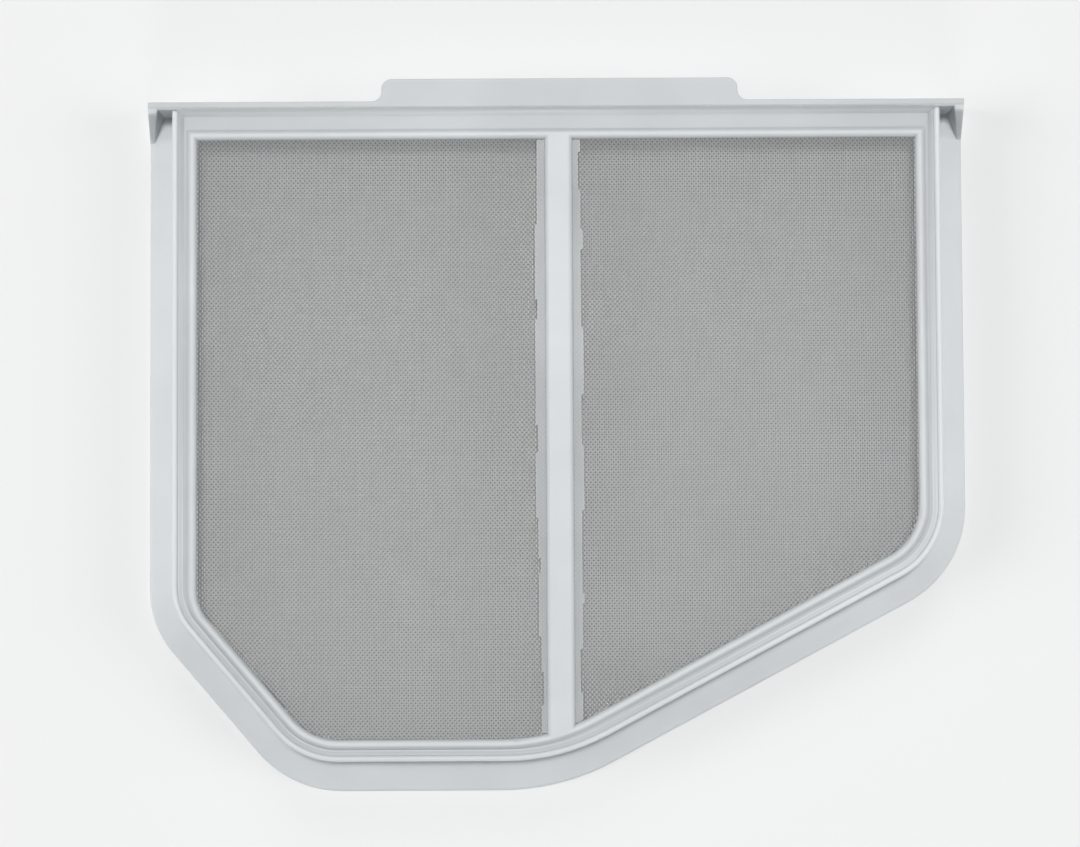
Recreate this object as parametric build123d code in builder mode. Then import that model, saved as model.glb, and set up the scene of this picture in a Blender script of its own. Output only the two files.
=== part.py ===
from build123d import *
import os
from math import cos, radians, sin, tan

# Lint filter of a tumble dryer: one moulded frame with a woven wire mesh set into it.
# It lies on its back: X runs along the top plate, Y towards the pull tab, Z out of the front.
# All sizes are in millimetres and all angles in degrees.

# Outline of the flange, the flat rim that slides in the dryer's guides
width = 322.0
drop = 266.6             # from the plate's underside to the bottom edge
left_rise = 65.1         # from the bottom edge up to the top of the left diagonal
right_rise = 85.1        # from the bottom edge up to the top of the right slope
left_angle = 49.5        # fall of the left diagonal
right_angle = 28.0       # fall of the right slope
left_radius = 37.5       # where the left side turns into its diagonal
heel_radius = 44.0       # where the diagonal turns into the bottom edge
toe_radius = 95.0        # where the bottom edge turns into the right slope
right_radius = 43.0      # where the slope turns into the right side
flange_thickness = 2.5
flange_round = 1.0       # rounding of the flange's outer edge

# Width of the bare flange, from its edge to the foot of the wall
flange_side = 11.0
flange_diagonal = 12.1
flange_slope = 11.4
flange_bottom = 12.7

# Wall, lip and face
depth = 25.0             # from the back of the flange to the front edge of the plate
wall = 2.6
lip_setback = 3.5        # the lip's crest lies this far behind the plate's front edge
lip_round = 0.8          # rounding of the lip's outer edge
lip_lean = 1.35          # wider rounding of its inner edge, towards the face
face_setback = 5.0       # the face lies this far behind the plate's front edge
face_thickness = 3.2

# Face between the wall and the windows
rim_side = 7.1
rim_diagonal = 6.1
rim_slope = 6.8
rim_bottom = 5.9
rail = 11.9              # between the plate and the windows

# Raised border round the windows, and the bar between them
border_width = 4.0
border_height = 0.7
border_slope = 65.0      # lean of the border's outer side
border_round = 1.7       # rounding of the border's edge towards the windows
bar_width = 11.1
bar_offset = 0.9         # the bar stands this far right of the middle
rib_width = 2.6          # stiffening rib behind the bar
rib_depth = 7.0

# Top plate, its end gussets and the pull tab
plate_thickness = 2.5
plate_taper = 2.0        # each end of the plate is this much shorter in front than at the flange
plate_bevel = 0.4
gusset_width = 3.5       # where the gusset meets the plate
gusset_tip = 1.7         # at its lower end
gusset_drop = 10.3
tab_width = 138.8
tab_rise = 8.7
tab_thickness = 3.0
tab_offset = 1.4         # the tab stands this far right of the middle
tab_corner = 4.2
tab_foot = 3.8

# Woven mesh: a thin sheet with a grid of openings, warp ridges in front and weft ridges behind
sheet_thickness = 0.6
sheet_grip = 3.0         # how far the sheet runs into the frame all round
fit_gap = 0.05           # between the sheet and the slot that holds it
mesh_pitch = 21.6        # from one opening to the next
mesh_opening = 13.3
mesh_margin = 2.0        # openings stay this far inside the windows
ridge_height = 0.2
ridge_width = 4.4
ridge_margin = 1.2       # ridges stay this far inside the windows

# A rounding takes at most this share of the wall it is cut in
round_share = 0.9

# Edges this near to a height count as lying at it
same_height = 0.01

# Places that follow from the sizes
plate_front = width / 2 - plate_taper
plate_top = (drop + plate_thickness + tab_rise) / 2 - tab_rise
seat = plate_top - plate_thickness
lip_front = depth - lip_setback
face_front = depth - face_setback
face_back = face_front - face_thickness
sheet_back = (face_front + face_back - sheet_thickness) / 2
sheet_front = sheet_back + sheet_thickness
wall_margins = (flange_side, flange_diagonal, flange_slope, flange_bottom)
face_margins = tuple(margin + wall for margin in wall_margins)
rim_widths = (rim_side, rim_diagonal, rim_slope, rim_bottom)
window_margins = tuple(margin + rim for margin, rim in zip(face_margins, rim_widths))
border_margins = tuple(margin - border_width for margin in window_margins)
slot_margins = tuple(margin - sheet_grip for margin in window_margins)
sheet_margins = tuple(margin + fit_gap for margin in slot_margins)
border_run = border_height * tan(radians(border_slope))
border_front = face_front + border_height
mesh_middle = seat - (rail + drop - window_margins[-1]) / 2
column_reach = int(width / mesh_pitch / 2)
row_reach = int(drop / mesh_pitch / 2)


def shield(margins, top):
    """Five-sided outline, drawn in from the flange's edge by the margin of each kind of edge."""
    side, diagonal, slope, bottom = margins
    left_fall = radians(left_angle)
    right_fall = radians(right_angle)
    left_side = side - width / 2
    right_side = width / 2 - side
    foot = seat - drop
    left_corner = foot + left_rise + (diagonal - side * sin(left_fall)) / cos(left_fall)
    right_corner = foot + right_rise + (slope - side * sin(right_fall)) / cos(right_fall)
    left_run = (diagonal + (left_rise - bottom) * cos(left_fall)) / sin(left_fall)
    right_run = (slope + (right_rise - bottom) * cos(right_fall)) / sin(right_fall)
    corners = [
        (left_side, left_corner),
        (left_run - width / 2, foot + bottom),
        (width / 2 - right_run, foot + bottom),
        (right_side, right_corner),
    ]
    radii = [
        left_radius - diagonal,
        heel_radius - diagonal,
        toe_radius - slope,
        right_radius - slope,
    ]
    with BuildSketch() as outline:
        with BuildLine():
            Polyline((left_side, seat - top), *corners, (right_side, seat - top), close=True)
        make_face()
        for corner, radius in zip(corners, radii):
            fillet(outline.vertices().sort_by_distance(corner)[0], radius)
    return outline.sketch


def rounding(radius, room):
    """A rounding's radius, kept within the room that its wall leaves."""
    return min(radius, round_share * room)


def at_height(shapes, height):
    """Those of the edges or faces that lie flat at this height."""
    return shapes.filter_by_position(Axis.Z, height - same_height, height + same_height)


def below_plate(edges):
    """Those of the edges that don't lie along the plate's underside."""
    return edges.filter_by(lambda edge: edge.center().Y < seat - same_height)


# Windows: the shield inside the rim, parted by the bar
with BuildSketch() as windows:
    add(shield(window_margins, rail))
    with Locations((bar_offset, 0)):
        Rectangle(bar_width, 2 * drop, mode=Mode.SUBTRACT)

# Weave: the part of the windows that the ridges fill, and the openings that fit into the windows
with BuildSketch() as weave:
    add(windows.sketch)
    offset(amount=-ridge_margin, mode=Mode.REPLACE)
corner_reach = mesh_opening / 2 + mesh_margin
column_places = [bar_offset + column * mesh_pitch for column in range(-column_reach, column_reach + 1)]
row_places = [mesh_middle + row * mesh_pitch for row in range(-row_reach, row_reach + 1)]
opening_places = [
    (column, row)
    for column in column_places
    for row in row_places
    if any(
        all(
            pane.is_inside((column + right * corner_reach, row + up * corner_reach, 0))
            for right in (-1, 1)
            for up in (-1, 1)
        )
        for pane in windows.faces()
    )
]

# Gusset at the right end of the plate, flush with the plate's slanted end and narrower downwards
with BuildPart() as gusset:
    with BuildSketch():
        with BuildLine():
            Polyline(
                (plate_front - gusset_width, seat),
                (width / 2, seat),
                (width / 2, seat - gusset_drop),
                (width / 2 - gusset_tip, seat - gusset_drop),
                close=True,
            )
        make_face()
    extrude(amount=depth)
    with BuildSketch(Plane.XZ.offset(-seat)):
        with BuildLine():
            Polyline(
                (0, 0),
                (width / 2, 0),
                (width / 2, flange_thickness),
                (plate_front, depth),
                (0, depth),
                close=True,
            )
        make_face()
    extrude(amount=gusset_drop, mode=Mode.INTERSECT)
    with BuildSketch(Plane.YZ):
        with BuildLine():
            Polyline(
                (seat, 0),
                (seat - gusset_drop, 0),
                (seat - gusset_drop, flange_thickness),
                (seat, depth - plate_bevel),
                close=True,
            )
        make_face()
    extrude(amount=width, mode=Mode.INTERSECT)

with BuildPart() as frame:
    # Flange with a rounded outer edge
    with BuildSketch():
        add(shield((0, 0, 0, 0), -plate_thickness))
    extrude(amount=flange_thickness)
    outer_edges = frame.edges().group_by(Axis.Z)[-1].sort_by(Axis.Y)[:-1]
    fillet(outer_edges, rounding(flange_round, flange_thickness))
    # Wall, with a lip left standing round the face
    with BuildSketch():
        add(shield(wall_margins, 0))
    extrude(amount=lip_front)
    wall_crest = below_plate(at_height(frame.edges(), lip_front))
    fillet(wall_crest, rounding(lip_round, wall / 2))
    with BuildSketch(Plane.XY.offset(face_front)):
        add(shield(face_margins, 0))
    extrude(amount=lip_front - face_front, mode=Mode.SUBTRACT)
    lip_crest = below_plate(at_height(frame.edges(Select.LAST), lip_front))
    fillet(lip_crest, rounding(lip_lean, min(lip_front - face_front, wall - lip_round)))
    # Hollow behind the face, open at the back
    with BuildSketch():
        add(shield(face_margins, 0))
    extrude(amount=face_back, mode=Mode.SUBTRACT)
    # Top plate, a little narrower in front than at the flange
    with BuildSketch(Plane.XZ.offset(-seat)):
        with BuildLine():
            Polyline(
                (-width / 2, 0),
                (width / 2, 0),
                (width / 2, flange_thickness),
                (plate_front, depth),
                (-plate_front, depth),
                (-width / 2, flange_thickness),
                close=True,
            )
        make_face()
    extrude(amount=-plate_thickness)
    # Pull tab with rounded corners and flared feet
    with BuildSketch(Plane.XY.offset(depth)) as tab:
        with Locations((tab_offset, plate_top)):
            Rectangle(tab_width, tab_rise, align=(Align.CENTER, Align.MIN))
        fillet(tab.vertices().group_by(Axis.Y)[-1], rounding(tab_corner, tab_rise / 2))
        with Locations((tab_offset, plate_top)):
            Rectangle(tab_width + 4 * tab_foot, plate_thickness, align=(Align.CENTER, Align.MAX))
        feet = tab.vertices().filter_by_position(Axis.Y, plate_top - same_height, plate_top + same_height)
        fillet(feet.sort_by(Axis.X)[1:3], rounding(tab_foot, tab_rise / 2))
    extrude(amount=-tab_thickness)
    chamfer(frame.faces().sort_by(Axis.Z)[-1].edges(), rounding(plate_bevel, plate_thickness / 2))
    # Gussets at both ends of the plate
    add(gusset.part)
    mirror(gusset.part, about=Plane.YZ)
    # Rib behind the bar, from the plate to the bottom wall
    with BuildSketch(Plane.XY.offset(face_back)):
        with Locations((bar_offset, 0)):
            Rectangle(rib_width, 2 * drop)
        add(shield(wall_margins, 0), mode=Mode.INTERSECT)
    extrude(amount=-rib_depth)
    # Raised border with a sloped outer side, then the windows with rounded edges
    with BuildSketch(Plane.XY.offset(face_front)):
        add(shield(border_margins, rail - border_width))
    extrude(amount=border_height, taper=border_slope)
    with BuildSketch(Plane.XY.offset(face_back)):
        add(windows.sketch)
    extrude(amount=face_thickness + border_height, mode=Mode.SUBTRACT)
    border_top = at_height(frame.faces().filter_by(GeomType.PLANE), border_front)[0]
    border_room = min(border_front - sheet_front, border_width - border_run)
    window_edges = ShapeList(edge for loop in border_top.inner_wires() for edge in loop.edges())
    fillet(window_edges, rounding(border_round, border_room))
    # Slot that holds the rim of the mesh
    with BuildSketch(Plane.XY.offset(sheet_back - fit_gap)):
        add(shield(slot_margins, rail - sheet_grip))
    extrude(amount=sheet_thickness + 2 * fit_gap, mode=Mode.SUBTRACT)

with BuildPart() as mesh:
    # Sheet
    with BuildSketch(Plane.XY.offset(sheet_back)):
        add(shield(sheet_margins, rail - sheet_grip + fit_gap))
    extrude(amount=sheet_thickness)
    # Openings through the sheet
    with BuildSketch(Plane.XY.offset(sheet_back)):
        with Locations(*opening_places):
            Rectangle(mesh_opening, mesh_opening)
    extrude(amount=sheet_thickness, mode=Mode.SUBTRACT)
    # Warp ridges down the front, between the columns of openings
    with BuildSketch(Plane.XY.offset(sheet_front)):
        with Locations((bar_offset, mesh_middle)):
            with GridLocations(mesh_pitch, 1, 2 * column_reach, 1):
                Rectangle(ridge_width, 2 * drop)
        add(weave.sketch, mode=Mode.INTERSECT)
    extrude(amount=ridge_height)
    # Weft ridges across the back, between the rows of openings
    with BuildSketch(Plane.XY.offset(sheet_back)):
        with Locations((bar_offset, mesh_middle)):
            with GridLocations(1, mesh_pitch, 1, 2 * row_reach):
                Rectangle(2 * width, ridge_width)
        add(weave.sketch, mode=Mode.INTERSECT)
    extrude(amount=-ridge_height)

os.makedirs("parts", exist_ok=True)
frame.part.label = "filter_frame"
mesh.part.label = "wire_mesh"
export_step(frame.part, "parts/filter_frame.step")
export_step(mesh.part, "parts/wire_mesh.step")
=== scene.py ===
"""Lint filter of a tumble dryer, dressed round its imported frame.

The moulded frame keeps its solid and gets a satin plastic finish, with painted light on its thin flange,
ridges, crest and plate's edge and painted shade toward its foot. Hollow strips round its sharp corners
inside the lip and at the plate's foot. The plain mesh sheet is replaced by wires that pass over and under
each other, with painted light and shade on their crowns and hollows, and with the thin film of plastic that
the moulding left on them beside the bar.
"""

import logging
import math
from dataclasses import dataclass, field
from enum import Enum

import bpy
import numpy as np
from mathutils import Matrix, Vector

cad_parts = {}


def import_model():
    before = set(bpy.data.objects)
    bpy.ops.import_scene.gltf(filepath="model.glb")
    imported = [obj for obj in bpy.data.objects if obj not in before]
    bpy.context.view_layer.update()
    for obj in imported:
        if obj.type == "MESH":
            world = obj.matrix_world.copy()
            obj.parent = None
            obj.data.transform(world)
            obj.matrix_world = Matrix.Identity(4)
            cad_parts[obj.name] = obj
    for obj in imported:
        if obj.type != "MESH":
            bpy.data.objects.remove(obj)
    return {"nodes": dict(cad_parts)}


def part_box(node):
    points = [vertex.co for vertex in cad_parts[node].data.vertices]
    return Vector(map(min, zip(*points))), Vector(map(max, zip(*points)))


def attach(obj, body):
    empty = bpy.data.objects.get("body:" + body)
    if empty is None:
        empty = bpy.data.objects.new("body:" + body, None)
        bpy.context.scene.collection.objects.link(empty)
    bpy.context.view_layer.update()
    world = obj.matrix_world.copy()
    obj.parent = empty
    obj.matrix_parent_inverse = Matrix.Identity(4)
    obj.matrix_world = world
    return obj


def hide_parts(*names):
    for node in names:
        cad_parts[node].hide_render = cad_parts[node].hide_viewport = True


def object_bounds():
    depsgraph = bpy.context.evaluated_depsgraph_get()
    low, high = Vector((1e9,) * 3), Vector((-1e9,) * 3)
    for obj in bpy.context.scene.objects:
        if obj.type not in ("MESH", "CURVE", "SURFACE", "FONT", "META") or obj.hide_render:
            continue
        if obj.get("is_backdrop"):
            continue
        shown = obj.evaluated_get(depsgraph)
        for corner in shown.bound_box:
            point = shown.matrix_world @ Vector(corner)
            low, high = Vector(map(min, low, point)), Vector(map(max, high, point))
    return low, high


LOG = logging.getLogger("lint_filter")

MM = 0.001
BODY = "root"

# Most values of a noise pattern lie between these
NOISE_ENDS = (0.3, 0.7)

# Places of the colour sockets among those of a Mix node
MIX_FIRST = 6
MIX_SECOND = 7
MIX_RESULT = 2

# Corners of a wire's section, and of the block of film that fills a cell of the weave
WIRE_CORNERS = 3
BLOCK_CORNERS = 8

Colour = tuple[float, float, float]
Point = tuple[float, float]
Socket = bpy.types.NodeSocket


class Run(Enum):
    """The two ways in which wires run through the weave."""

    WARP = "warp"
    WEFT = "weft"

    @property
    def along(self) -> int:
        """Index of the axis that a wire of this run follows."""
        return 1 if self is Run.WARP else 0

    @property
    def across(self) -> int:
        """Index of the axis along which such wires stand side by side."""
        return 1 - self.along


class Slot(Enum):
    """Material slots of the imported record."""

    PLASTIC = "frame_plastic"
    WIRE = "mesh_wire"


class ShaderTree:
    """A material's node tree, with short calls that add and join its nodes."""

    def __init__(self, name: str) -> None:
        """Start an empty material.

        Args:
            name: The material's name.
        """
        self.material = bpy.data.materials.new(name)
        self.material.use_nodes = True
        self.tree = self.material.node_tree
        self.tree.nodes.clear()

    def add(self, kind: str, **settings: object) -> bpy.types.Node:
        """Add a node.

        Args:
            kind: The node's type without its ShaderNode prefix.
            settings: Properties of the node, or values for its inputs with spaces written as underscores.

        Returns:
            The new node.
        """
        node = self.tree.nodes.new("ShaderNode" + kind)
        for key, value in settings.items():
            socket = node.inputs.get(key.replace("_", " "))
            if socket is not None:
                socket.default_value = value
            else:
                setattr(node, key, value)
        return node

    def link(self, source: Socket, target: Socket) -> None:
        """Join one node's output to another's input."""
        self.tree.links.new(source, target)

    def noise(self, place: Socket, scale: float, detail: float) -> Socket:
        """Add a noise pattern.

        Args:
            place: The coordinates that the pattern reads.
            scale: Its scale, in repeats for each metre.
            detail: Its levels of finer noise.

        Returns:
            The pattern's value, from 0 to 1.
        """
        node = self.add("TexNoise", Scale=scale, Detail=detail)
        self.link(place, node.inputs["Vector"])
        return node.outputs[0]

    def rescale(self, value: Socket, source: Point, target: Point) -> Socket:
        """Carry a value from one range over to another, and hold it there.

        Args:
            value: The value.
            source: The range that it comes from.
            target: The range that it is carried to.

        Returns:
            The new value.
        """
        node = self.add("MapRange")
        node.inputs["From Min"].default_value = source[0]
        node.inputs["From Max"].default_value = source[1]
        node.inputs["To Min"].default_value = target[0]
        node.inputs["To Max"].default_value = target[1]
        self.link(value, node.inputs["Value"])
        return node.outputs["Result"]

    def spread(self, noise: Socket, low: float, high: float) -> Socket:
        """Stretch a noise value from its usual range to this one."""
        return self.rescale(noise, NOISE_ENDS, (low, high))

    def ramp(self, value: Socket, start: float, end: float) -> Socket:
        """Turn a value into a share that is 0 at the start and 1 at the end."""
        return self.rescale(value, (start, end), (0.0, 1.0))

    def stretch(self, share: Socket, low: float, high: float) -> Socket:
        """Stretch a share so that 0 becomes the low value and 1 the high one."""
        return self.rescale(share, (0.0, 1.0), (low, high))

    def scaled(self, share: Socket, most: float) -> Socket:
        """Scale a share.

        Args:
            share: The share, from 0 to 1.
            most: What 1 becomes.

        Returns:
            The scaled share.
        """
        node = self.add("Math", operation="MULTIPLY")
        self.link(share, node.inputs[0])
        node.inputs[1].default_value = most
        return node.outputs[0]

    def along(self, place: Socket, axis: str) -> Socket:
        """Tell where a place stands on an axis of the filter.

        Args:
            place: The place.
            axis: The axis, by its letter.

        Returns:
            Its distance from the origin, in metres.
        """
        node = self.add("SeparateXYZ")
        self.link(place, node.inputs[0])
        return node.outputs[axis]

    def math(self, kind: str, first: Socket, second: Socket) -> Socket:
        """Join two values.

        Args:
            kind: How they are joined, such as ADD or MULTIPLY.
            first: One value.
            second: The other value.

        Returns:
            The result.
        """
        node = self.add("Math", operation=kind)
        self.link(first, node.inputs[0])
        self.link(second, node.inputs[1])
        return node.outputs[0]

    def blend(self, share: Socket, base: Socket | Colour, other: Colour) -> Socket:
        """Blend two colours.

        Args:
            share: How much of the other colour shows, from 0 to 1.
            base: The first colour, plain or from another node.
            other: The other colour.

        Returns:
            The blended colour.
        """
        node = self.add("Mix", data_type="RGBA")
        if isinstance(base, tuple):
            node.inputs[MIX_FIRST].default_value = (*base, 1.0)
        else:
            self.link(base, node.inputs[MIX_FIRST])
        node.inputs[MIX_SECOND].default_value = (*other, 1.0)
        self.link(share, node.inputs[0])
        return node.outputs[MIX_RESULT]

    def surface(self, shader: bpy.types.Node) -> bpy.types.Material:
        """Give the material its shader.

        Args:
            shader: The shader's node.

        Returns:
            The finished material.
        """
        output = self.add("OutputMaterial")
        self.link(shader.outputs[0], output.inputs["Surface"])
        return self.material


@dataclass(frozen=True)
class MouldedPlastic:
    """Satin milky plastic with a fine moulded grain.

    It is paler in the thin flange, on ridges, on the lip's crest and on the plate's edge, which is painted
    light.
    The flange and the crest are deeper toward the filter's foot, which is painted shade.
    """

    name: str = "moulded_plastic"
    pale: Colour = (0.655, 0.680, 0.690)
    deep: Colour = (0.465, 0.489, 0.500)
    # Painted light makes the flange pale below the first height, and it is gone above the second
    thin_height: float = 2.4 * MM
    thick_height: float = 5.0 * MM
    thin_light_share: float = 0.68
    # Painted shade toward the foot: there the flange keeps this share of its painted paleness, and the crest
    # none
    foot_low: float = -105.0 * MM
    foot_high: float = -60.0 * MM
    foot_light_share: float = 0.5
    # Heights between which painted light makes ridges, the crest and the plate's edge paler
    ridge_low: float = 20.1 * MM
    ridge_high: float = 20.7 * MM
    ridge_light_share: float = 0.5
    crest_low: float = 20.9 * MM
    crest_high: float = 21.4 * MM
    crest_light_share: float = 0.4
    # Painted light on the plate's front wall: this paler colour, rising between the two heights that follow
    wall: Colour = (0.86, 0.88, 0.885)
    wall_low: float = 21.5 * MM
    wall_high: float = 22.2 * MM
    wall_light_share: float = 0.8
    # Between these heights the plate's edge turns into its plain front, where the painted light ends
    front_low: float = 24.3 * MM
    front_high: float = 24.9 * MM
    cloud_share: float = 0.25
    cloud_scale: float = 22.0
    cloud_detail: float = 3.0
    milkiness: float = 0.85
    scatter: float = 3.0 * MM
    scatter_tint: Colour = (1.0, 1.0, 1.0)
    smooth: float = 0.36
    rough: float = 0.48
    grain_scale: float = 2600.0
    grain_detail: float = 2.0
    grain_depth: float = 0.02 * MM
    grain_strength: float = 0.22
    edge_radius: float = 0.6 * MM
    edge_samples: int = 4

    def material(self) -> bpy.types.Material:
        """Make the finish.

        Returns:
            The material.
        """
        tree = ShaderTree(self.name)
        place = tree.add("TexCoord").outputs["Object"]
        cloud = tree.noise(place, self.cloud_scale, self.cloud_detail)
        grain = tree.noise(place, self.grain_scale, self.grain_detail)
        height = tree.along(place, "Z")
        # Painted light: paler in the thin flange, on ridges, on the crest and on the plate's front wall;
        # painted shade: the flange and the crest deeper toward the foot
        thin = tree.scaled(tree.ramp(height, self.thick_height, self.thin_height), self.thin_light_share)
        foot = tree.ramp(tree.along(place, "Y"), self.foot_low, self.foot_high)
        thin = tree.math("MULTIPLY", thin, tree.stretch(foot, self.foot_light_share, 1.0))
        ridge = tree.scaled(tree.ramp(height, self.ridge_low, self.ridge_high), self.ridge_light_share)
        crest = tree.scaled(tree.ramp(height, self.crest_low, self.crest_high), self.crest_light_share)
        crest = tree.math("MULTIPLY", crest, foot)
        wall = tree.scaled(tree.ramp(height, self.wall_low, self.wall_high), self.wall_light_share)
        behind = tree.ramp(height, self.front_high, self.front_low)
        edges = tree.math("MULTIPLY", tree.math("ADD", ridge, crest), behind)
        pale = tree.math("ADD", thin, edges)
        shade = tree.math("ADD", pale, tree.spread(cloud, 0.0, self.cloud_share))
        colour = tree.blend(shade, self.deep, self.pale)
        colour = tree.blend(tree.math("MULTIPLY", wall, behind), colour, self.wall)
        shader = tree.add("BsdfPrincipled", Subsurface_Weight=self.milkiness, Subsurface_Scale=self.scatter)
        shader.inputs["Subsurface Radius"].default_value = self.scatter_tint
        tree.link(colour, shader.inputs["Base Color"])
        tree.link(tree.spread(grain, self.smooth, self.rough), shader.inputs["Roughness"])
        edge = tree.add("Bevel", samples=self.edge_samples, Radius=self.edge_radius)
        bump = tree.add("Bump", Strength=self.grain_strength, Distance=self.grain_depth)
        tree.link(grain, bump.inputs["Height"])
        tree.link(edge.outputs[0], bump.inputs["Normal"])
        tree.link(bump.outputs[0], shader.inputs["Normal"])
        return tree.surface(shader)


@dataclass(frozen=True)
class DrawnWire:
    """Drawn wire with painted light and shade: one colour at its hollows and another at its crowns, each
    wire a little unlike the next.
    """

    run: Run
    low: float
    high: float
    hollow: Colour
    crown: Colour
    wires_per_metre: float = 1100.0
    along_scale: float = 0.08
    tint_detail: float = 2.0
    metal_share: float = 0.35
    dullest: float = 0.85
    smooth: float = 0.42
    rough: float = 0.58

    def material(self) -> bpy.types.Material:
        """Make the finish.

        Returns:
            The material.
        """
        tree = ShaderTree(f"drawn_{self.run.value}_wire")
        place = tree.add("TexCoord").outputs["Object"]
        stretch = tree.add("Mapping", vector_type="POINT")
        tree.link(place, stretch.inputs["Vector"])
        scale = [0.0, 0.0, 0.0]
        scale[self.run.across] = 1.0
        scale[self.run.along] = self.along_scale
        stretch.inputs["Scale"].default_value = scale
        tint = tree.noise(stretch.outputs[0], self.wires_per_metre, self.tint_detail)
        # Painted light and shade by height: the hollow colour low on the wire, the crown colour high on it
        height = tree.ramp(tree.along(place, "Z"), self.low, self.high)
        bright = tree.math("MULTIPLY", height, tree.spread(tint, self.dullest, 1.0))
        shader = tree.add("BsdfPrincipled", Metallic=self.metal_share)
        tree.link(tree.blend(bright, self.hollow, self.crown), shader.inputs["Base Color"])
        tree.link(tree.spread(tint, self.rough, self.smooth), shader.inputs["Roughness"])
        return tree.surface(shader)


@dataclass(frozen=True)
class PaleFloor:
    """Plain pale floor."""

    name: str = "pale_floor"
    colour: Colour = (0.888, 0.888, 0.888)

    def material(self) -> bpy.types.Material:
        """Make the finish.

        Returns:
            The material.
        """
        tree = ShaderTree(self.name)
        shader = tree.add("BsdfDiffuse", Color=(*self.colour, 1.0))
        return tree.surface(shader)


@dataclass(frozen=True)
class Margins:
    """How far an outline is set in from the edges of the flange and of the plate, in millimetres."""

    side: float
    diagonal: float
    slope: float
    bottom: float
    top: float

    def inset(self, more: float, top_more: float) -> "Margins":
        """The same margins, the top one larger by its own amount and the others by this much."""
        below = (self.side + more, self.diagonal + more, self.slope + more, self.bottom + more)
        return Margins(*below, self.top + top_more)


@dataclass(frozen=True)
class Shield:
    """Five-sided outline of the filter, in millimetres, with its plate's underside as the upper edge."""

    width: float = 322.0
    drop: float = 266.6
    left_rise: float = 65.1
    right_rise: float = 85.1
    left_fall: float = math.radians(49.5)
    right_fall: float = math.radians(28.0)
    radii: tuple[float, float, float, float] = (37.5, 44.0, 95.0, 43.0)
    arc_steps: int = 14

    def outline(self, foot: float, margins: Margins) -> np.ndarray:
        """Draw the outline, set in from the flange's edge.

        Args:
            foot: Where the flange's bottom edge stands.
            margins: How far each edge is set in.

        Returns:
            Points of the closed outline, counter-clockwise from the upper left corner.
        """
        half = self.width / 2
        side, diagonal, slope, bottom = margins.side, margins.diagonal, margins.slope, margins.bottom
        left_sin, left_cos = math.sin(self.left_fall), math.cos(self.left_fall)
        right_sin, right_cos = math.sin(self.right_fall), math.cos(self.right_fall)
        left_run = (diagonal + (self.left_rise - bottom) * left_cos) / left_sin
        right_run = (slope + (self.right_rise - bottom) * right_cos) / right_sin
        left_corner = self.left_rise + (diagonal - side * left_sin) / left_cos
        right_corner = self.right_rise + (slope - side * right_sin) / right_cos
        upper = foot + self.drop - margins.top
        corners = [
            (side - half, upper),
            (side - half, foot + left_corner),
            (left_run - half, foot + bottom),
            (half - right_run, foot + bottom),
            (half - side, foot + right_corner),
            (half - side, upper),
        ]
        points: list[Point] = [corners[0]]
        insets = (diagonal, diagonal, slope, slope)
        for index, (radius, inset) in enumerate(zip(self.radii, insets), start=1):
            points += self.round_corner(corners[index - 1 : index + 2], radius - inset)
        points.append(corners[-1])
        return np.array(points)

    def round_corner(self, corner: list[Point], radius: float) -> list[Point]:
        """Round one corner.

        Args:
            corner: The corner with the point before it and the point after it.
            radius: The rounding's radius.

        Returns:
            Points along the arc that replaces the corner.
        """
        before, tip, after = (Vector(point) for point in corner)
        inward = (before - tip).normalized()
        onward = (after - tip).normalized()
        half_angle = inward.angle(onward) / 2
        middle = tip + (inward + onward).normalized() * (radius / math.sin(half_angle))
        start = tip + inward * (radius / math.tan(half_angle)) - middle
        turn = math.pi - 2 * half_angle
        arc = []
        for step in range(self.arc_steps + 1):
            angle = turn * step / self.arc_steps
            arc.append(tuple(middle + Matrix.Rotation(angle, 2) @ start))
        return arc


def chord(outline: np.ndarray, axis: int, value: float) -> tuple[float, float] | None:
    """Find where a straight line along an axis crosses a convex outline.

    Args:
        outline: Points of the closed outline.
        axis: Index of the axis that the line follows.
        value: Where the line stands on the other axis.

    Returns:
        The lower and the higher crossing along the axis, or None if the line misses the outline.
    """
    other = 1 - axis
    start, end = outline, np.roll(outline, -1, axis=0)
    crossed = (start[:, other] <= value) != (end[:, other] <= value)
    if not crossed.any():
        return None
    start, end = start[crossed], end[crossed]
    share = (value - start[:, other]) / (end[:, other] - start[:, other])
    places = start[:, axis] + share * (end[:, axis] - start[:, axis])
    return float(places.min()), float(places.max())


def depth_inside(outline: np.ndarray, points: np.ndarray) -> np.ndarray:
    """Measure how deep points lie inside a convex outline.

    Args:
        outline: Points of the closed outline, counter-clockwise.
        points: The points to measure.

    Returns:
        The least distance of each point to the outline's edges, negative outside.
    """
    depth = np.full(len(points), np.inf)
    for start, end in zip(outline, np.roll(outline, -1, axis=0)):
        along = end - start
        length = np.hypot(*along)
        offset = points - start
        depth = np.minimum(depth, (along[0] * offset[:, 1] - along[1] * offset[:, 0]) / length)
    return depth


def new_piece(
    name: str, vertices: np.ndarray, faces: list[list[int]], finish: bpy.types.Material
) -> bpy.types.Object:
    """Make a smooth mesh piece that rides on the filter.

    Args:
        name: The piece's name.
        vertices: Its points, in millimetres.
        faces: Indices of each face's points.
        finish: Its material.

    Returns:
        The new piece.
    """
    mesh = bpy.data.meshes.new(name)
    mesh.from_pydata((vertices * MM).tolist(), [], faces)
    mesh.polygons.foreach_set("use_smooth", [True] * len(mesh.polygons))
    mesh.materials.append(finish)
    mesh.update()
    piece = bpy.data.objects.new(name, mesh)
    bpy.context.scene.collection.objects.link(piece)
    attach(piece, BODY)
    return piece


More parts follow.
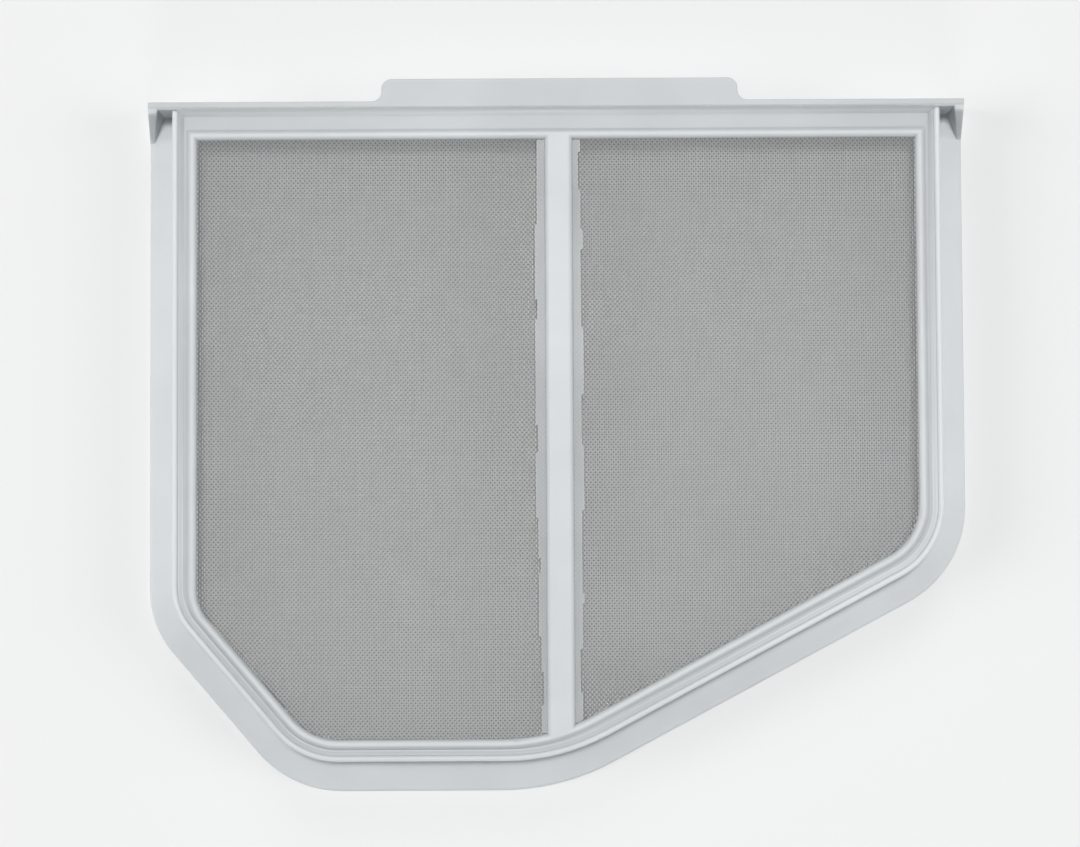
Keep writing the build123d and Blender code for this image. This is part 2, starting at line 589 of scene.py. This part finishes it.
@dataclass
class FrameMoulding:
    """The one-piece frame: flange, wall, face, border, bar, plate and pull tab."""

    node: bpy.types.Object
    finish: MouldedPlastic = field(default_factory=MouldedPlastic)

    def dress(self) -> None:
        """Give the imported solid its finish."""
        self.node.data.materials.clear()
        self.node.data.materials.append(self.finish.material())
        LOG.info("%s: satin plastic", self.node.name)


@dataclass
class LipFillet:
    """Hollow rounding between the lip and the face inside it, in millimetres."""

    foot: float
    name: str = "lip_fillet"
    shield: Shield = field(default_factory=Shield)
    face: Margins = Margins(side=13.6, diagonal=14.7, slope=14.0, bottom=15.3, top=0.0)
    face_height: float = 20.0
    shoulder: Point = (-0.45, 1.05)
    bend: Point = (0.65, 0.0)
    reach: Point = (1.8, 0.0)
    sunk: float = -0.1
    steps: int = 8
    # Painted light: the fillet is paler, more toward its top and less toward the foot, where painted shade
    # takes over
    finish: MouldedPlastic = MouldedPlastic(
        name="fillet_plastic",
        deep=(0.43, 0.452, 0.463),
        crest_low=19.9 * MM,
        crest_high=20.0 * MM,
        crest_light_share=0.45,
        milkiness=0.0,
        edge_radius=0.0,
    )

    def line(self, offset: float) -> np.ndarray:
        """Line that the section follows at an offset from the face's edge, with the face on its left."""
        return self.shield.outline(self.foot, self.face.inset(offset, 0.0))

    def hollow(self) -> list[Point]:
        """Draw the hollow side of the section.

        Returns:
            Points with their distance from the face's edge and their height above the face.
        """
        points = []
        for step in range(self.steps + 1):
            share = step / self.steps
            weights = ((1 - share) ** 2, 2 * share * (1 - share), share**2)
            parts = list(zip(weights, (self.shoulder, self.bend, self.reach)))
            distance = sum(weight * point[0] for weight, point in parts)
            height = sum(weight * point[1] for weight, point in parts)
            points.append((distance, height))
        return points

    def hidden(self) -> list[Point]:
        """Sides of the section that lie in the frame, from the hollow's end back to its start."""
        return [self.reach, (self.reach[0], self.sunk), (self.shoulder[0], self.sunk), self.shoulder]

    def build(self) -> None:
        """Lay the fillet along its line."""
        hollow, hidden = self.hollow(), self.hidden()
        rows = []
        for offset, height in hollow + hidden:
            line = self.line(offset)
            rows.append(np.column_stack((line, np.full(len(line), self.face_height + height))))
        count = len(rows[0])
        faces = []
        for row in range(len(rows) - 1):
            # The hollow and the hidden sides share no points, so that the shading breaks between them
            if row == len(hollow) - 1:
                continue
            here, after = row * count, (row + 1) * count
            for point in range(count - 1):
                faces.append([here + point, here + point + 1, after + point + 1, after + point])
        # Rows round the section, each of its corners once, for the two ends
        section = [*range(len(hollow)), len(hollow) + 1, len(hollow) + 2]
        faces.append([row * count for row in section])
        faces.append([row * count + count - 1 for row in reversed(section)])
        piece = new_piece(self.name, np.concatenate(rows), faces, self.finish.material())
        LOG.info("%s: %d faces", piece.name, len(faces))


@dataclass
class PlateFillet(LipFillet):
    """Hollow rounding between the plate and the rail in front of it, in millimetres."""

    name: str = "plate_fillet"
    shoulder: Point = (-0.3, 4.2)
    bend: Point = (0.35, 0.25)
    reach: Point = (2.4, 0.0)
    end_grip: float = 0.6

    def line(self, offset: float) -> np.ndarray:
        """Straight line along the plate, with the rail on its left.

        Args:
            offset: How far it stands from the plate.

        Returns:
            Its two ends.
        """
        half = self.shield.width / 2 - self.face.side + self.end_grip
        place = self.foot + self.shield.drop - offset
        return np.array([(half, place), (-half, place)])


@dataclass
class WovenMesh:
    """Wire cloth that fills both windows and runs on through the bar between them, in millimetres."""

    foot: float
    level: float
    shield: Shield = field(default_factory=Shield)
    window: Margins = Margins(side=20.7, diagonal=20.8, slope=20.8, bottom=21.2, top=11.9)
    grip: float = 1.6
    wire: float = 0.37
    warp_swing: float = 0.24
    weft_swing: float = 0.12
    slot_share: float = 0.7
    warp_pitch: float = 0.89
    weft_pitch: float = 0.98
    warp_error: float = 0.020
    weft_error: float = 0.010
    waver: float = 0.03
    waver_length: float = 60.0
    waver_turn: float = 2.399
    bundles: int = 4
    seed: int = 11
    # Painted light and shade: the warps lit at their crowns and shaded in their hollows, the wefts shaded at
    # their crowns and lit in their hollows
    warp_hollow_painted_shade: Colour = (0.34, 0.346, 0.343)
    warp_crown_painted_light: Colour = (0.78, 0.79, 0.785)
    weft_hollow_painted_light: Colour = (0.90, 0.91, 0.905)
    weft_crown_painted_shade: Colour = (0.15, 0.153, 0.152)

    def outline(self, inset: float) -> np.ndarray:
        """Outline of the windows and the bar together, drawn in by an inset, or out by a negative one."""
        return self.shield.outline(self.foot, self.window.inset(inset, inset))

    def pitch(self, run: Run) -> float:
        """Distance from one wire of a run to the next."""
        return self.warp_pitch if run is Run.WARP else self.weft_pitch

    def places(self, run: Run) -> np.ndarray:
        """Tell where the wires of a run stand, with the loom's small errors.

        Args:
            run: The run.

        Returns:
            Their places across the run.
        """
        edge = self.outline(-self.grip)[:, run.across]
        pitch = self.pitch(run)
        count = int((edge.max() - edge.min()) / pitch)
        middle = (edge.max() + edge.min()) / 2
        even = middle + (np.arange(count) - (count - 1) / 2) * pitch
        draw = np.random.default_rng(self.seed + run.along)
        error = self.warp_error if run is Run.WARP else self.weft_error
        return even + draw.normal(0.0, error, count)

    def wire_points(self, run: Run, index: int, place: float, others: np.ndarray) -> np.ndarray | None:
        """Centre line of one wire.

        Args:
            run: The wire's run.
            index: Its number in the run.
            place: Where it stands.
            others: Where the wires of the other run stand.

        Returns:
            One point for each wire that it crosses and one for each end, or None if it has no length.
        """
        ends = chord(self.outline(-self.grip), run.along, place)
        if ends is None:
            return None
        inside = np.flatnonzero((others > ends[0] + self.wire) & (others < ends[1] - self.wire))
        if not len(inside):
            return None
        swing = self.warp_swing if run is Run.WARP else -self.weft_swing
        rise = np.where((inside + index) % 2 == 0, swing, -swing)
        shown = chord(self.outline(0.0), run.along, place) or (0.0, 0.0)
        gripped = (others[inside] < shown[0]) | (others[inside] > shown[1])
        rise = np.where(gripped, self.slot_share * rise, rise)
        along = np.concatenate(([ends[0]], others[inside], [ends[1]]))
        height = np.concatenate(([0.0], rise, [0.0]))
        phase = index * self.waver_turn
        points = np.empty((len(along), 3))
        points[:, run.along] = along
        points[:, run.across] = place + self.waver * np.sin(2 * math.pi * along / self.waver_length + phase)
        points[:, 2] = self.level + height
        return points

    def bundle(self, run: Run, number: int) -> tuple[np.ndarray, list[list[int]]]:
        """Make the mesh of one bundle of neighbouring wires.

        Args:
            run: The wires' run.
            number: Which bundle of that run.

        Returns:
            The points and faces of its wires.
        """
        places = self.places(run)
        others = self.places(Run.WEFT if run is Run.WARP else Run.WARP)
        chosen = np.array_split(np.arange(len(places)), self.bundles)[number]
        # The section is a triangle with one corner up, whose sides are as long as the wire is wide
        corner = self.wire / math.sqrt(3.0)
        section = np.zeros((WIRE_CORNERS, 3))
        for side in range(WIRE_CORNERS):
            turn = math.radians(90.0 + side * 360.0 / WIRE_CORNERS)
            section[side, run.across] = corner * math.cos(turn)
            section[side, 2] = corner * math.sin(turn)
        vertices = []
        faces: list[list[int]] = []
        start = 0
        for index in chosen:
            centre = self.wire_points(run, int(index), float(places[index]), others)
            if centre is None:
                continue
            rings = len(centre)
            vertices.append((centre[:, None, :] + section[None, :, :]).reshape(-1, 3))
            ring = start + WIRE_CORNERS * np.arange(rings - 1)
            onward = ring + WIRE_CORNERS
            for side in range(WIRE_CORNERS):
                after = (side + 1) % WIRE_CORNERS
                quads = np.stack((ring + side, ring + after, onward + after, onward + side), axis=1)
                if run is Run.WARP:
                    quads = quads[:, ::-1]
                faces += quads.tolist()
            last = start + WIRE_CORNERS * (rings - 1)
            caps = [[start, start + 2, start + 1], [last, last + 1, last + 2]]
            if run is Run.WARP:
                caps = [cap[::-1] for cap in caps]
            faces += caps
            start += WIRE_CORNERS * rings
        return np.concatenate(vertices), faces

    def finish(self, run: Run) -> DrawnWire:
        """Choose the finish of a run's wires.

        Args:
            run: The run.

        Returns:
            Their finish.
        """
        if run is Run.WARP:
            crest = self.level + self.warp_swing
            return DrawnWire(run, self.level * MM, crest * MM, self.warp_hollow_painted_shade, self.warp_crown_painted_light)
        crest = self.level + self.weft_swing
        return DrawnWire(run, self.level * MM, crest * MM, self.weft_hollow_painted_light, self.weft_crown_painted_shade)

    def build(self) -> None:
        """Weave the wires in place of the plain sheet."""
        for run in Run:
            metal = self.finish(run).material()
            for number in range(self.bundles):
                vertices, faces = self.bundle(run, number)
                piece = new_piece(f"{run.value}_wires_{number + 1}", vertices, faces, metal)
                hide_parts("wire_mesh")
                LOG.info("%s: %d faces", piece.name, len(faces))


@dataclass
class MouldingFlash:
    """Thin film of plastic that the moulding left on the weave, mostly beside the bar, in millimetres."""

    weave: WovenMesh
    bar_left: float = -4.65
    bar_right: float = 6.45
    edge_reach: tuple[float, float] = (0.0, 0.25)
    edge_patch: float = 2.2
    bar_reach: tuple[float, float] = (1.5, 3.5)
    bar_patch: float = 45.0
    overlap: float = 0.17
    thickness: float = 0.50
    top: float = 0.46
    waves: int = 6
    wave_growth: float = 0.9
    seed: int = 5
    finish: MouldedPlastic = MouldedPlastic(
        name="thin_plastic", deep=(0.285, 0.296, 0.30), milkiness=0.0, edge_radius=0.0
    )

    def reach(self, places: np.ndarray, ends: tuple[float, float], patch: float) -> np.ndarray:
        """Tell how far the film runs into the windows, in smooth seeded patches.

        Args:
            places: The cells' middles.
            ends: The shortest and the longest reach.
            patch: Length of the shortest patches.

        Returns:
            The reach at each place.
        """
        draw = np.random.default_rng(self.seed)
        reach = np.zeros(len(places))
        for wave in range(self.waves):
            heading = draw.uniform(0.0, 2 * math.pi)
            pace = 2 * math.pi / (patch * (1.0 + self.wave_growth * wave))
            phase = draw.uniform(0.0, 2 * math.pi)
            along = places[:, 0] * math.cos(heading) + places[:, 1] * math.sin(heading)
            reach += np.sin(pace * along + phase) / math.sqrt(self.waves)
        share = np.clip(0.5 + 0.5 * reach, 0.0, 1.0)
        return ends[0] + (ends[1] - ends[0]) * share

    def build(self) -> None:
        """Lay the film over the cells that it reaches."""
        warps, wefts = self.weave.places(Run.WARP), self.weave.places(Run.WEFT)
        left, low = np.meshgrid(warps[:-1], wefts[:-1], indexing="ij")
        right, high = np.meshgrid(warps[1:], wefts[1:], indexing="ij")
        cells = np.stack((left.ravel(), low.ravel(), right.ravel(), high.ravel()), axis=1)
        middles = (cells[:, :2] + cells[:, 2:]) / 2
        edge_depth = depth_inside(self.weave.outline(0.0), middles)
        bar_depth = np.maximum(self.bar_left - middles[:, 0], middles[:, 0] - self.bar_right)
        by_edge = edge_depth < self.reach(middles, self.edge_reach, self.edge_patch)
        by_bar = bar_depth < self.reach(middles, self.bar_reach, self.bar_patch)
        under_bar = -self.weave.warp_pitch / 2
        filled = cells[(edge_depth > 0.0) & (bar_depth > under_bar) & (by_edge | by_bar)]
        inset = self.weave.wire / 2 - self.overlap
        vertices = []
        for x_low, y_low, x_high, y_high in filled:
            for z in (self.top - self.thickness, self.top):
                for x, y in ((x_low, y_low), (x_high, y_low), (x_high, y_high), (x_low, y_high)):
                    inward = (inset if x == x_low else -inset, inset if y == y_low else -inset)
                    vertices.append((x + inward[0], y + inward[1], self.weave.level + z))
        faces = []
        half = BLOCK_CORNERS // 2
        for start in range(0, len(vertices), BLOCK_CORNERS):
            under = list(range(start, start + half))
            over = list(range(start + half, start + BLOCK_CORNERS))
            faces.append(under[::-1])
            faces.append(over)
            for side in range(half):
                after = (side + 1) % half
                faces.append([under[side], under[after], over[after], over[side]])
        piece = new_piece("moulding_flash", np.array(vertices), faces, self.finish.material())
        piece.data.polygons.foreach_set("use_smooth", [False] * len(faces))
        LOG.info("%s: %d cells", piece.name, len(filled))


@dataclass(frozen=True)
class SoftLamp:
    """One distant soft lamp, which lights a facing surface at this share of the full level."""

    name: str
    heading: tuple[float, float, float]
    spread: float
    share: float

    def build(self) -> None:
        """Add the lamp."""
        light = bpy.data.lights.new(self.name, "SUN")
        light.angle = math.radians(self.spread)
        light.energy = self.share * math.pi
        lamp = bpy.data.objects.new(self.name, light)
        lamp.location = self.heading
        lamp.rotation_mode = "QUATERNION"
        lamp.rotation_quaternion = (-Vector(self.heading)).to_track_quat("-Z", "Y")
        bpy.context.scene.collection.objects.link(lamp)


@dataclass
class Studio:
    """Pale floor, soft light from above and from the sides, and the camera above."""

    floor_size: float = 12.0
    sky: Colour = (0.97, 0.99, 1.0)
    sky_strength: float = 0.18
    backdrop: Colour = (0.888, 0.888, 0.888)
    lamps: tuple[SoftLamp, ...] = (
        SoftLamp("key_lamp", (0.0, 0.25, 2.0), 8.0, 0.51),
        SoftLamp("plate_lamp", (0.0, 2.0, 1.30), 24.0, 0.12),
        SoftLamp("front_lamp", (0.0, -2.0, 0.45), 24.0, 0.17),
        SoftLamp("left_lamp", (-2.0, 0.0, 1.00), 30.0, 0.28),
        SoftLamp("right_lamp", (2.0, 0.0, 1.00), 30.0, 0.20),
    )
    lens: float = 94.15
    sensor: float = 36.0
    eye: tuple[float, float, float] = (-0.00682, -0.05122, 1.11735)
    tilt: float = math.radians(2.9)
    roll: float = math.radians(0.30)

    def build(self) -> None:
        """Set the stage."""
        bpy.context.scene.view_settings.view_transform = "Standard"
        self.build_floor()
        self.build_world()
        for lamp in self.lamps:
            lamp.build()
        self.build_camera()

    def build_floor(self) -> None:
        """Lay the floor under the filter."""
        half = self.floor_size / 2
        mesh = bpy.data.meshes.new("floor")
        corners = [(-half, -half, 0.0), (half, -half, 0.0), (half, half, 0.0), (-half, half, 0.0)]
        mesh.from_pydata(corners, [], [(0, 1, 2, 3)])
        mesh.materials.append(PaleFloor().material())
        floor = bpy.data.objects.new("floor", mesh)
        bpy.context.scene.collection.objects.link(floor)
        floor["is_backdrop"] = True

    def build_world(self) -> None:
        """Light the scene evenly from all round, behind a plain pale backdrop."""
        world = bpy.data.worlds.new("studio")
        world.use_nodes = True
        bpy.context.scene.world = world
        nodes, links = world.node_tree.nodes, world.node_tree.links
        nodes.clear()
        light = nodes.new("ShaderNodeBackground")
        light.inputs["Color"].default_value = (*self.sky, 1.0)
        light.inputs["Strength"].default_value = self.sky_strength
        shown = nodes.new("ShaderNodeBackground")
        shown.inputs["Color"].default_value = (*self.backdrop, 1.0)
        path = nodes.new("ShaderNodeLightPath")
        seen = path.outputs["Is Camera Ray"]
        for ray in ("Is Glossy Ray", "Is Transmission Ray"):
            either = nodes.new("ShaderNodeMath")
            either.operation = "MAXIMUM"
            links.new(seen, either.inputs[0])
            links.new(path.outputs[ray], either.inputs[1])
            seen = either.outputs[0]
        mix = nodes.new("ShaderNodeMixShader")
        output = nodes.new("ShaderNodeOutputWorld")
        links.new(seen, mix.inputs[0])
        links.new(light.outputs[0], mix.inputs[1])
        links.new(shown.outputs[0], mix.inputs[2])
        links.new(mix.outputs[0], output.inputs["Surface"])

    def build_camera(self) -> None:
        """Look down on the filter from above."""
        data = bpy.data.cameras.new("camera")
        data.lens = self.lens
        data.sensor_fit = "HORIZONTAL"
        data.sensor_width = self.sensor
        ahead = Vector((0.0, math.sin(self.tilt), -math.cos(self.tilt)))
        level_up = Vector((0.0, math.cos(self.tilt), math.sin(self.tilt)))
        level_right = Vector((1.0, 0.0, 0.0))
        up = level_up * math.cos(self.roll) + level_right * math.sin(self.roll)
        right = level_right * math.cos(self.roll) - level_up * math.sin(self.roll)
        turn = Matrix((right, up, -ahead)).transposed()
        camera = bpy.data.objects.new("camera", data)
        camera.matrix_world = Matrix.Translation(self.eye) @ turn.to_4x4()
        bpy.context.scene.collection.objects.link(camera)
        bpy.context.scene.camera = camera


def main() -> None:
    """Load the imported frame, dress it and set the stage."""
    logging.basicConfig(level=logging.INFO, format="%(message)s")
    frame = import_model()
    cad_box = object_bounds()
    foot = cad_box[0].y / MM
    Studio().build()
    FrameMoulding(frame["nodes"]["filter_frame"]).dress()
    sheet_low, sheet_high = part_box("wire_mesh")
    level = (sheet_low.z + sheet_high.z) / 2 / MM
    weave = WovenMesh(foot=foot, level=level)
    weave.build()
    MouldingFlash(weave).build()
    LipFillet(foot=foot).build()
    PlateFillet(foot=foot).build()


if __name__ == "__main__":
    main()
